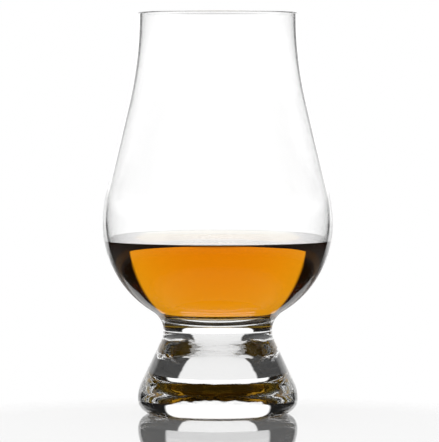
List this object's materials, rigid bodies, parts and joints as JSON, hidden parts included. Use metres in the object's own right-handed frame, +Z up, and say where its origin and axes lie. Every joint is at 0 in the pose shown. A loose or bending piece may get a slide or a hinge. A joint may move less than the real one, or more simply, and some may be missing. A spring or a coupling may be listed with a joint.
{
  "type": "whisky nosing glass",
  "caption": "Stemless tulip-shaped nosing glass with a narrow mouth, a wide bulb and a solid pressed foot, part filled with whisky.",
  "frame": {"origin": "centre of the foot's resting ring, on the table", "axes": "+Z up along the axis of revolution, from the foot to the rim; X and Y are equal, because the glass is round"},
  "size_m": [0.066, 0.066, 0.115],
  "materials": {
    "crystal_bowl": "thin clear blown crystal, polished",
    "crystal_foot": "thick clear pressed crystal, fire polished",
    "whisky": "clear amber liquid"
  },
  "bodies": {
    "root": {"bowl": "crystal_bowl", "foot": "crystal_foot", "whisky": "whisky"}
  },
  "joints": []
}
